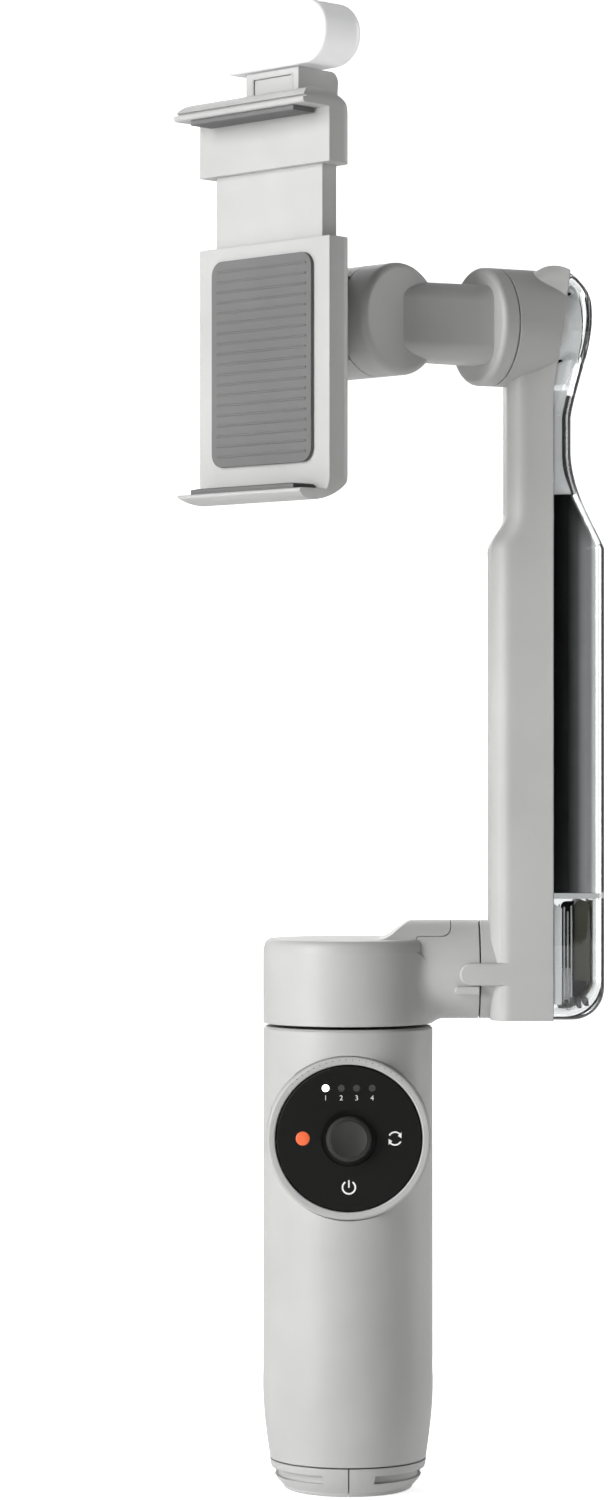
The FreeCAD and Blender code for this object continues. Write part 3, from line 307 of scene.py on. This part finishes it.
M = {
    "grey": plastic("stone_grey", GREY, 0.46, grain=9.0, depth=0.008, edge=0.3),
    "grey_arm": plastic("stone_grey_arm", GREY, 0.46, grain=9.0, depth=0.008, edge=0.3,
                        patch=FROST, patch_mask=past_split),
    "grey_satin": plastic("stone_grey_satin", (0.45, 0.45, 0.445), 0.38, grain=9.0, depth=0.006, edge=0.2),
    "black_gloss": lining("polished_black_painted_reflection"),
    "panel_black": plastic("panel_black", (0.006, 0.006, 0.0055), 0.40, grain=14.0, depth=0.003, spec=0.22),
    "black_soft": plastic("soft_black", (0.030, 0.030, 0.028), 0.42, grain=12.0, depth=0.01, spec=0.4),
    "dark": plastic("dark_nylon", (0.02, 0.02, 0.021), 0.5, grain=6.0),
    "tube": metal("anodised_tube", (0.30, 0.30, 0.31), 0.34),
    "steel": metal("turned_steel", (0.62, 0.62, 0.63), 0.28),
    "copper": metal("wound_copper", (0.72, 0.34, 0.16), 0.35),
    "board": plastic("solder_mask", (0.01, 0.06, 0.035), 0.3, grain=2.0, coat=0.5),
    "foil": plastic("cell_wrap", (0.32, 0.33, 0.35), 0.3, grain=1.0),
    "clear": clear("clear_cover"),
    "ribbon": plastic("flex_circuit", (0.07, 0.06, 0.045), 0.3, grain=3.0),
    "olive": plastic("olive_nylon", (0.035, 0.034, 0.022), 0.35, grain=5.0,
                     patch=(0.75, 0.75, 0.74), patch_mask=on_plug),
    "pad": plastic("grip_rubber", (0.14, 0.14, 0.14), 0.7, grain=10.0, depth=0.02, edge=0.2),
    "white": white_case_painted_light("lamp_white_painted_light", (0.82, 0.82, 0.83), 0.22),
    "diffuser": glow("opal_front", (1.0, 1.0, 1.0), 0.9),
    "light_dots": plastic("light_pipe", (0.05, 0.05, 0.05), 0.25),
    # the frosted pieces inside the clear cover carry a painted glow
    "frost": plastic("frosted_core_painted_glow", FROST, 0.55, grain=6.0, depth=0.006, painted_glow=0.30),
    "print_white": plastic("printed_white", (0.86, 0.86, 0.85), 0.5, grain=12.0, depth=0.002),
    "print_orange": plastic("printed_orange", (0.95, 0.16, 0.05), 0.45, grain=12.0, depth=0.002),
    # dark grey for the wheel's dimples: painted shade
    "dimple": plastic("dimple_painted_shade", (0.15, 0.15, 0.15), 0.5, grain=12.0, depth=0.002),
    "lit": glow("lit_dot", (1.0, 1.0, 1.0), 3.0),
}
OWN_MATERIAL = {"arm_shell": "grey_arm", "control_disc": "panel_black"}
slots = {s["node"]: s["material_slot"] for s in frame["record"]["subparts"]}
for node, obj in NODES.items():
    obj.data.materials.clear()
    obj.data.materials.append(M[OWN_MATERIAL.get(node, slots[node])])


# --- mesh helpers -------------------------------------------------------------------------
def placed(origin, x, y, z):
    """From a local frame in millimetres, with axes x, y, z, to the part's frame in metres."""
    turn = Matrix((x, y, z)).transposed().to_4x4()
    return Matrix.Translation(origin) @ turn @ Matrix.Scale(MM, 4)


def middle(node):
    low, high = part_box(node)
    return (low + high) / 2


def piece(name, bm, matrix, body, finish, smooth=35):
    """Ends a mesh made in a local frame: puts it in place, finishes it and lets it ride."""
    bmesh.ops.recalc_face_normals(bm, faces=bm.faces)
    bm.transform(matrix)
    me = bpy.data.meshes.new(name)
    bm.to_mesh(me)
    bm.free()
    me.materials.append(M[finish])
    me.shade_smooth()
    me.set_sharp_from_angle(angle=math.radians(smooth))
    obj = bpy.data.objects.new(name, me)
    bpy.context.scene.collection.objects.link(obj)
    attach(obj, body)
    return obj


def plate(bm, outline, low, high, bevel=0.0):
    """Adds an outline extruded along local z, with its rims bevelled."""
    rows = [[bm.verts.new((x, y, h)) for x, y in outline] for h in (low, high)]
    caps = [bm.faces.new(rows[0][::-1]), bm.faces.new(rows[1])]
    for i in range(len(outline)):
        j = (i + 1) % len(outline)
        bm.faces.new((rows[0][i], rows[0][j], rows[1][j], rows[1][i]))
    if bevel:
        rim = list({e for f in caps for e in f.edges})
        bmesh.ops.bevel(bm, geom=rim, offset=bevel, segments=2, profile=0.5, affect="EDGES",
                        clamp_overlap=True)


def lathe(bm, profile, count=48, centre=(0, 0), closed=False):
    """Adds a turned shape from points (radius, height) about local z."""
    rows = []
    for r, h in profile:
        turns = [2 * math.pi * i / count for i in range(count)] if r > 0 else [0]
        rows.append([bm.verts.new((centre[0] + r * math.cos(t), centre[1] + r * math.sin(t), h))
                     for t in turns])
    pairs = list(zip(rows, rows[1:])) + ([(rows[-1], rows[0])] if closed else [])
    for a, b in pairs:
        for i in range(count):
            j = (i + 1) % count
            corners = [a[i % len(a)], a[j % len(a)], b[j % len(b)], b[i % len(b)]]
            bm.faces.new(list(dict.fromkeys(corners)))


def rod(bm, points, r, sides=8, closed=False):
    """Adds a round rod along points, with domed ends unless it is a closed loop."""
    path = [Vector(p) for p in points]
    n = len(path)
    rows = []
    for i, p in enumerate(path):
        before = path[(i - 1) % n] if closed or i > 0 else p
        after = path[(i + 1) % n] if closed or i < n - 1 else p
        along = (after - before).normalized()
        side = along.cross(Vector((0.31, 0.17, 0.93))).normalized()
        up = along.cross(side)
        turns = [2 * math.pi * k / sides for k in range(sides)]
        rows.append([bm.verts.new(p + (side * math.cos(t) + up * math.sin(t)) * r) for t in turns])
    count = n if closed else n - 1
    for i in range(count):
        a, b = rows[i], rows[(i + 1) % n]
        for k in range(sides):
            m = (k + 1) % sides
            bm.faces.new((a[k], a[m], b[m], b[k]))
    if not closed:
        for row, p, q in ((rows[0], path[0], path[1]), (rows[-1], path[-1], path[-2])):
            tip = bm.verts.new(p + (p - q).normalized() * r * 0.6)
            for k in range(sides):
                bm.faces.new((row[k], row[(k + 1) % sides], tip))


def arc(r, a0, a1, count, centre=(0, 0)):
    """Points on an arc, angles in degrees."""
    steps = [math.radians(a0 + (a1 - a0) * i / count) for i in range(count + 1)]
    return [(centre[0] + r * math.cos(t), centre[1] + r * math.sin(t)) for t in steps]


def round_rect(w, h, r, centre=(0, 0), count=5):
    """Outline of a rectangle with round corners."""
    out = []
    for sx, sy, a in ((1, 1, 0), (-1, 1, 90), (-1, -1, 180), (1, -1, 270)):
        corner = (centre[0] + sx * (w / 2 - r), centre[1] + sy * (h / 2 - r))
        out += arc(r, a, a + 90, count, corner)
    return out


def ring_plate(bm, outer, inner, low, high):
    """Adds a flat ring between two outlines that have equal numbers of points."""
    n = len(outer)
    loops = [[bm.verts.new((x, y, h)) for x, y in line]
             for line, h in ((outer, low), (outer, high), (inner, high), (inner, low))]
    for k in range(4):
        a, b = loops[k], loops[(k + 1) % 4]
        for i in range(n):
            j = (i + 1) % n
            bm.faces.new((a[i], a[j], b[j], b[i]))


# --- control panel ------------------------------------------------------------------------
disc_low, disc_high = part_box("control_disc")
PANEL = placed(Vector((middle("control_disc").x, disc_low.y, middle("control_disc").z)), X, Z, -Y)
DISC_R = (disc_high.x - disc_low.x) / 2 / MM
ICON = (-0.03, 0.035)  # printed marks reach from below the disc's face to above it
LIGHT_X, LIGHT_Z = (-5.0, -1.65, 1.65, 5.0), 10.8


def record_dot():
    bm = bmesh.new()
    lathe(bm, [(0, -0.05), (1.5, -0.05), (1.5, 0.04), (1.42, 0.09), (0.8, 0.12), (0, 0.13)], 40, (-9.9, 0))
    piece("record_dot", bm, PANEL, "disc", "print_orange")


def flip_icon():
    """Two arrows that chase each other round."""
    bm = bmesh.new()
    middle_r, half, wing = 1.38, 0.16, 0.55
    place = (9.9, 0)
    for turn in (0, 180):
        start, end = turn + 44, turn + 152
        band = arc(middle_r + half, start, end, 12, place) + arc(middle_r - half, end, start, 12, place)
        head = [arc(r, a, a, 1, place)[0]
                for r, a in ((middle_r - wing, start), (middle_r, start - 42), (middle_r + wing, start))]
        plate(bm, band + head, *ICON)
    piece("flip_icon", bm, PANEL, "disc", "print_white")


def power_icon():
    bm = bmesh.new()
    place = (0, -10.5)
    plate(bm, arc(1.55, 125, 415, 30, place) + arc(1.2, 415, 125, 30, place), *ICON)
    plate(bm, round_rect(0.34, 1.65, 0.1, (0, -9.75)), *ICON)
    piece("power_icon", bm, PANEL, "disc", "print_white")


def mode_numbers():
    """Numbers 1 to 4 under the mode lights."""
    bm = bmesh.new()
    for i, x in enumerate(LIGHT_X):
        curve = bpy.data.curves.new("number", "FONT")
        curve.body = str(i + 1)
        curve.size = 1.55
        curve.align_x = "CENTER"
        curve.extrude = 0.03
        text = bpy.data.objects.new("number", curve)
        me = text.to_mesh()
        me.transform(Matrix.Translation((x, LIGHT_Z - 2.6, 0)))
        bm.from_mesh(me)
        text.to_mesh_clear()
        bpy.data.objects.remove(text)
    piece("mode_numbers", bm, PANEL, "disc", "print_white")


def first_light():
    """The mode light that is on."""
    bm = bmesh.new()
    lathe(bm, [(0, 0.0), (0.78, 0.0), (0.76, 0.08), (0.5, 0.15), (0, 0.18)], 28, (LIGHT_X[0], LIGHT_Z))
    piece("first_light", bm, PANEL, "disc", "lit")


def stick_ridges():
    """Fine rings on the rim of the joystick cap."""
    bm = bmesh.new()
    top = (disc_low.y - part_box("joystick_cap")[0].y) / MM
    for r, drop in ((3.95, 0.0), (4.25, 0.07), (4.52, 0.2)):
        loop = [(x, y, top - drop) for x, y in arc(r, 0, 360 - 6, 59)]
        rod(bm, loop, 0.07, 6, closed=True)
    piece("stick_ridges", bm, PANEL, "stick", "black_soft")


def wheel_marks():
    """A row of dimples round the top of the control wheel, as dark spots of painted shade."""
    bm = bmesh.new()
    face = (disc_low.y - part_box("control_wheel")[0].y) / MM
    r = DISC_R + 1.28
    count, first, pitch = 19, 48.0, 4.9
    for i in range(count):
        t = math.radians(first + pitch * i)
        spot = (r * math.cos(t), r * math.sin(t))
        lathe(bm, [(0, face - 0.1), (0.13, face - 0.1), (0.13, face + 0.015), (0, face + 0.015)], 12, spot)
    piece("wheel_marks", bm, PANEL, "wheel", "dimple")


def wheel_knurl():
    """Fine ribs round the side of the control wheel."""
    bm = bmesh.new()
    low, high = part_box("control_wheel")
    r = (high.x - low.x) / 2 / MM
    top = (disc_low.y - low.y) / MM
    ribs = 150
    line = []
    for i in range(ribs * 2):
        t = math.pi * i / ribs
        reach = r + (0.09 if i % 2 else 0.02)
        line.append((reach * math.cos(t), reach * math.sin(t)))
    inner = arc(r - 0.3, 0, 360 - 180 / ribs, ribs * 2 - 1)
    ring_plate(bm, line, inner, top - 3.6, top - 0.75)
    piece("wheel_knurl", bm, PANEL, "wheel", "grey_satin", 20)


def control_details():
    record_dot()
    flip_icon()
    power_icon()
    mode_numbers()
    first_light()
    stick_ridges()
    wheel_marks()
    wheel_knurl()


# --- the back of the handle ---------------------------------------------------------------
def skin(node):
    """A search tree of a CAD node's surface."""
    me = NODES[node].data
    return BVHTree.FromPolygons([v.co for v in me.vertices], [p.vertices for p in me.polygons])


def port_rim():
    """A thin raised lip round the charging port, on the round of the grip."""
    low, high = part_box("usb_socket")
    grip = (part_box("handle_sleeve")[1].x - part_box("handle_sleeve")[0].x) / 2 / MM
    wide, tall = (high.x - low.x) / MM + 1.3, (high.z - low.z) / MM + 1.3
    z = middle("usb_socket").z / MM
    outline = round_rect(wide, tall, tall / 2.01)
    points = [(x, math.sqrt(grip ** 2 - x ** 2) - 0.05, z + h) for x, h in outline]
    bm = bmesh.new()
    rod(bm, points, 0.22, 8, closed=True)
    piece("port_rim", bm, placed(Vector(), X, Y, Z), "handle", "grey")


def trigger_ribs():
    """Grip ribs across the trigger."""
    low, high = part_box("rear_trigger")
    tree = skin("rear_trigger")
    bm = bmesh.new()
    half = (high.x - low.x) / 2 / MM - 1.2
    count = 6
    for i in range(count):
        z = low.z + (high.z - low.z) * (0.14 + 0.4 * i / (count - 1))
        hit = tree.ray_cast(Vector((0, high.y + 0.01, z)), -Y)[0]
        rod(bm, [(-half, hit.y / MM, z / MM), (half, hit.y / MM, z / MM)], 0.3)
    piece("trigger_ribs", bm, placed(Vector(), X, Y, Z), "trigger", "grey_satin")


# --- inside the clear back of the arm -------------------------------------------------------
SIDE = placed(Vector(), X, Z, -Y)  # outlines drawn in x and z, thickness along -y
cover = skin("arm_cover")


def inner_wall(z):
    """Where a level line in the middle plane meets the inside of the clear cover."""
    start = Vector((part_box("arm_cover")[1].x + 0.01, 0.0, z * MM))
    outside = cover.ray_cast(start, -X)[0]
    inside = cover.ray_cast(outside - X * 0.0003, -X)[0]
    return inside.x / MM


def wall_line(z0, z1, count, gap):
    """Points along the inside of the cover from z0 up to z1, a gap in from it."""
    levels = [z0 + (z1 - z0) * i / count for i in range(count + 1)]
    raw = [Vector((inner_wall(z), z)) for z in levels]
    out = []
    for i, p in enumerate(raw):
        along = (raw[min(i + 1, count)] - raw[max(i - 1, 0)]).normalized()
        normal = Vector((-along.y, along.x))
        out.append((p.x + normal.x * gap, p.y + normal.y * gap))
    return out


def arm_core():
    """The frosted block between the black lining and the head."""
    bm = bmesh.new()
    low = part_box("arm_liner")[1].z / MM + 0.15
    right = wall_line(low, 239.0, 26, 0.85)
    left = [(SPLIT_X + 0.3, right[-1][1]), (SPLIT_X + 0.3, right[0][1])]
    plate(bm, right + left, -8.9, 8.9, 0.5)
    piece("arm_core", bm, SIDE, "arm", "frost")


def arm_gasket():
    """The dark seal that follows the curve of the arm's back."""
    bm = bmesh.new()
    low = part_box("arm_liner")[1].z / MM + 0.15
    right = wall_line(low, 238.0, 26, 0.12)
    left = wall_line(low, 238.0, 26, 0.62)[::-1]
    plate(bm, right + left, -9.4, 9.4, 0.1)
    piece("arm_gasket", bm, SIDE, "arm", "dark")


def head_core():
    """The frosted inner cap behind the roll motor, with two ribs along its back."""
    bm = bmesh.new()
    right = wall_line(240.2, 261.5, 20, 1.5)
    left = [(split_x(z) + 0.35, z) for z in (right[-1][1] + 0.4, 240.2)]
    plate(bm, right + left, -9.6, 9.6, 0.8)
    piece("head_core", bm, SIDE, "arm", "frost")
    bm = bmesh.new()
    for y in (-7.5, 7.5):
        line = wall_line(240.2, 260.5, 18, 0.85)
        rod(bm, [(x, z, y) for x, z in line], 0.28)
    piece("head_ribs", bm, SIDE, "arm", "frost")


def window_details():
    """Rail, pins and dark middle plate seen through the clear foot of the arm."""
    rail = (SPLIT_X + 0.35, SPLIT_X + 1.9)
    width = rail[1] - rail[0]
    mid = (rail[0] + rail[1]) / 2
    bm = bmesh.new()
    top = arc(width / 2, 0, 180, 10, (mid, 126.6))
    for y0, y1 in ((7.2, 9.6), (-9.6, -7.2)):
        plate(bm, [(rail[0], 106.2), (rail[1], 106.2)] + top, y0, y1, 0.15)
    piece("window_rails", bm, SIDE, "arm", "frost")
    bm = bmesh.new()
    for x, top_z in ((46.75, 127.2), (47.5, 126.2), (48.3, 127.4)):
        for y in (-8.9, 8.9):
            rod(bm, [(x, 107.4, y), (x, top_z, y)], 0.2)
    piece("window_pins", bm, SIDE, "arm", "steel")
    bm = bmesh.new()
    plate(bm, round_rect(5.9, 22.6, 1.2, (49.5, 116.9)), -0.7, 0.7, 0.2)
    piece("window_plate", bm, SIDE, "arm", "dark")
    bm = bmesh.new()
    for i in range(4):
        for y in (-8.6, 8.6):
            plate(bm, round_rect(0.9, 1.5, 0.2, (47.2 + 1.35 * i, 106.4 + 0.5 * (i % 2))),
                  y - 0.7, y + 0.7, 0.12)
    piece("window_contacts", bm, SIDE, "arm", "dark")


def arm_details():
    arm_core()
    arm_gasket()
    head_core()
    window_details()


# --- clamp and lamp -----------------------------------------------------------------------
ALONG = Vector((math.sqrt(0.5), -math.sqrt(0.5), 0))  # along the phone
AWAY = Vector((math.sqrt(0.5), math.sqrt(0.5), 0))  # away from its screen
CLAMP = placed(middle("back_pad"), ALONG, Z, -AWAY)
KEY_W = 11.0  # length of the lamp's key


def clamp_coils():
    """The two springs of the sliding jaw, as fixed coils that ride with the clamp; they do not shorten as
    it moves.
    """
    low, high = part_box("clamp_springs")
    apart, r, wire, turns = 10.0, 1.2, 0.3, 9
    tall = (high.z - low.z) / MM - 2 * wire
    bm = bmesh.new()
    steps = turns * 14
    for side in (-1, 1):
        line = []
        for i in range(steps + 1):
            t = 2 * math.pi * turns * i / steps
            line.append((side * apart + r * math.cos(t), tall * (i / steps - 0.5), r * math.sin(t)))
        rod(bm, line, wire, 6)
    matrix = placed(middle("clamp_springs"), ALONG, Z, -AWAY)
    coils = piece("clamp_coils", bm, matrix, "clamp", "steel")
    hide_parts("clamp_springs")
    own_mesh(coils)


def back_pad_ribs():
    """Low grip ribs moulded on the rubber behind the phone."""
    low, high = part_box("back_pad")
    tall = (high.z - low.z) / MM
    half, face = 13.4, 0.425
    bm = bmesh.new()
    count = 19
    for i in range(count):
        z = (i - (count - 1) / 2) * (tall - 4.5) / (count - 1)
        rod(bm, [(-half, z, face - 0.1), (half, z, face - 0.1)], 0.3, 8)
    piece("back_pad_ribs", bm, CLAMP, "clamp", "pad")


def jaw_pad_ribs(node, body, name):
    """Grip ribs along one jaw's rubber, facing the phone."""
    low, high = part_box(node)
    side = 1 if node == "lower_pad" else -1
    face = (high.z if side > 0 else low.z)
    matrix = placed(Vector((*middle(node).xy, face)), ALONG, -AWAY, Z)
    bm = bmesh.new()
    for y in (-2.2, -1.1, 0.0, 1.1, 2.2):
        rod(bm, [(-14.6, y, -0.1 * side), (14.6, y, -0.1 * side)], 0.26, 8)
    piece(name, bm, matrix, body, "pad")


def key_frame():
    """A lighter frame round the key in the lamp's foot."""
    low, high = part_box("lamp_key")
    tall = (high.z - low.z) / MM
    matrix = placed(middle("lamp_key"), ALONG, Z, -AWAY)
    bm = bmesh.new()
    ring_plate(bm, round_rect(KEY_W + 1.5, tall + 1.1, 0.5), round_rect(KEY_W + 0.6, tall + 0.3, 0.25),
               0.4, 0.78)
    piece("key_frame", bm, matrix, "high_jaw", "grey_satin")


def clamp_details():
    clamp_coils()
    back_pad_ribs()
    jaw_pad_ribs("lower_pad", "clamp", "lower_pad_ribs")
    jaw_pad_ribs("upper_pad", "high_jaw", "upper_pad_ribs")
    key_frame()


control_details()
port_rim()
trigger_ribs()
arm_details()
clamp_details()

# --- stage, light and camera ----------------------------------------------------------------
low, high = cad_box
scene = bpy.context.scene
scene.view_settings.view_transform = "Standard"

FLOOR_R, WALL_R, WALL_H = 3.0, 0.8, 3.0  # metres, as everything from here on
WALL_Y = 1.6
FILL, BOUNCE = 0.05, 0.22  # light that reaches the object from the sky and from the backdrop
NEAR_GLOW, FULL_GLOW = 0.66, 1.0  # how bright the camera sees the floor, near and far
NEAR_MM, FAR_MM = 400.0, 1300.0  # where the floor's brightness starts and ends its rise
AIM = (0, 0, 0.15)  # where the softboxes look


def light_path(nt, name):
    return nt.nodes.new("ShaderNodeLightPath").outputs[name]


def backdrop():
    """A pale floor that curves up behind into a wall. It glows more in the camera's eye
    than on the object, and a camera standing behind the wall looks through it."""
    bm = bmesh.new()
    steps = 24
    line = [(-FLOOR_R, 0.0)]
    for i in range(steps + 1):
        t = math.radians(90.0 * i / steps)
        line.append((WALL_Y + WALL_R * math.sin(t), WALL_R * (1 - math.cos(t))))
    line.append((WALL_Y + WALL_R, WALL_H))
    rows = [[bm.verts.new((x, y, low.z + z)) for y, z in line] for x in (-FLOOR_R, FLOOR_R)]
    for i in range(len(line) - 1):
        bm.faces.new((rows[0][i], rows[1][i], rows[1][i + 1], rows[0][i + 1]))
    me = bpy.data.meshes.new("floor")
    bm.to_mesh(me)
    me.shade_smooth()
    obj = bpy.data.objects.new("floor", me)
    scene.collection.objects.link(obj)
    m, nt, bsdf = new_material("pale_floor")
    n = noise(nt, coords(nt), 0.01, 2.0)
    nt.links.new(blend_colours(nt, (0.90, 0.90, 0.90), (0.92, 0.92, 0.92), n), bsdf.inputs["Base Color"])
    bsdf.inputs["Roughness"].default_value = 0.8
    bsdf.inputs["Emission Color"].default_value = (1, 1, 1, 1)
    seen = maths(nt, "MAXIMUM", light_path(nt, "Is Camera Ray"), light_path(nt, "Is Transmission Ray"))
    distance = nt.nodes.new("ShaderNodeVectorMath")
    distance.operation = "LENGTH"
    nt.links.new(coords(nt), distance.inputs[0])
    far = remap(nt, distance.outputs["Value"], NEAR_GLOW, FULL_GLOW, NEAR_MM, FAR_MM)
    glow_seen = maths(nt, "MULTIPLY", seen, far)
    hidden = maths(nt, "MULTIPLY", maths(nt, "SUBTRACT", 1.0, seen), BOUNCE)
    nt.links.new(maths(nt, "ADD", glow_seen, hidden), bsdf.inputs["Emission Strength"])
    behind = nt.nodes.new("ShaderNodeNewGeometry").outputs["Backfacing"]
    mix = nt.nodes.new("ShaderNodeMixShader")
    nt.links.new(maths(nt, "MULTIPLY", behind, light_path(nt, "Is Camera Ray")), mix.inputs["Fac"])
    nt.links.new(bsdf.outputs["BSDF"], mix.inputs[1])
    nt.links.new(nt.nodes.new("ShaderNodeBsdfTransparent").outputs["BSDF"], mix.inputs[2])
    out = next(n for n in nt.nodes if n.type == "OUTPUT_MATERIAL")
    nt.links.new(mix.outputs["Shader"], out.inputs["Surface"])
    me.materials.append(m)


def studio_world():
    """White to the camera, dim as fill, and for reflections dark behind the camera and
    bright to the sides and the back."""
    world = bpy.data.worlds.new("studio")
    scene.world = world
    world.use_nodes = True
    nt = world.node_tree
    bg = nt.nodes["Background"]
    bg.inputs["Color"].default_value = (1, 1, 1, 1)
    tc = nt.nodes.new("ShaderNodeTexCoord")
    xyz = nt.nodes.new("ShaderNodeSeparateXYZ")
    nt.links.new(tc.outputs["Generated"], xyz.inputs["Vector"])
    mirror = remap(nt, xyz.outputs["Y"], 0.02, 0.9, -0.25, 0.45)
    fill = maths(nt, "MULTIPLY", light_path(nt, "Is Diffuse Ray"), FILL)
    not_diffuse = maths(nt, "SUBTRACT", 1.0, light_path(nt, "Is Diffuse Ray"))
    strength = maths(nt, "ADD", fill, maths(nt, "MULTIPLY", not_diffuse, mirror))
    strength = maths(nt, "MAXIMUM", strength, light_path(nt, "Is Camera Ray"))
    nt.links.new(strength, bg.inputs["Strength"])


def softbox(name, place, aim, w, h, power):
    """A soft light of w by h that the camera does not see."""
    data = bpy.data.lights.new(name, "AREA")
    data.shape = "RECTANGLE"
    data.size = w
    data.size_y = h
    data.energy = power
    obj = bpy.data.objects.new(name, data)
    scene.collection.objects.link(obj)
    obj.location = place
    obj.rotation_euler = (Vector(aim) - Vector(place)).to_track_quat("-Z", "Y").to_euler()
    obj.visible_camera = False


backdrop()
studio_world()
softbox("key", (-1.05, -0.82, 0.45), (0, 0, 0.16), 0.5, 1.2, 25)
softbox("rim_right", (1.1, 0.35, 0.3), AIM, 0.35, 1.2, 6)
softbox("back", (-0.25, 1.35, 0.75), AIM, 0.7, 0.9, 6)

cam_data = bpy.data.cameras.new("camera")
cam = bpy.data.objects.new("camera", cam_data)
scene.collection.objects.link(cam)
cam.location = (-9.63 * MM, -919.4 * MM, 155.8 * MM)
cam.rotation_euler = (math.radians(90), 0, 0)
cam_data.sensor_fit = "VERTICAL"
cam_data.sensor_height = 36.0
cam_data.lens = 100.8
cam_data.shift_y = 25.0 / 1500.0
cam_data.clip_start = 0.05
scene.camera = cam
